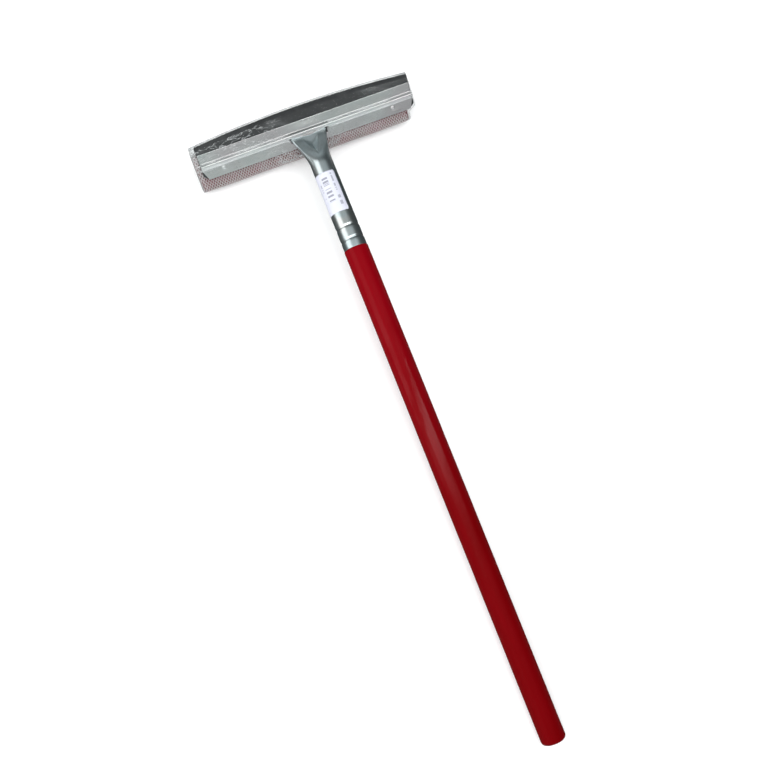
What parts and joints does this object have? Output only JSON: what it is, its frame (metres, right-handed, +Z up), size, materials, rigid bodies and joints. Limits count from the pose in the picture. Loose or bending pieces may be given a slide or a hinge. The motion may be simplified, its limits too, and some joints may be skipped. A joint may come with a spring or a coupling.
{
  "type": "window squeegee",
  "caption": "Steel-headed window squeegee with a crowned rubber blade, a netted sponge and a round painted wooden handle.",
  "frame": {"origin": "below the middle of the tool's box, on the surface it lies on", "axes": "+X along the head, +Y along the handle towards the head, +Z up, with the blade's edge up and the sponge down"},
  "size_m": [0.2088, 0.598, 0.0493],
  "materials": {
    "red_enamel": "gloss red enamel over a turned wooden dowel",
    "zinc_steel": "bright zinc plate on rolled sheet steel",
    "rivet_steel": "zinc-plated rivet",
    "black_rubber": "matt black sheet rubber",
    "red_sponge": "open-cell foam, red",
    "sponge_net": "knitted nylon net, off-white",
    "label_paper": "white thermal label with grey bars",
    "clear_film": "thin clear wrapping film, creased"
  },
  "bodies": {
    "root": {"wood_handle": "red_enamel", "ferrule": "zinc_steel", "front_plate": "zinc_steel", "rear_plate": "zinc_steel", "rubber_blade": "black_rubber", "sponge_core": "red_sponge", "sponge_net": "sponge_net", "rivet_left": "rivet_steel", "rivet_right": "rivet_steel", "price_label": "label_paper", "film_sleeve": "clear_film"}
  },
  "joints": []
}
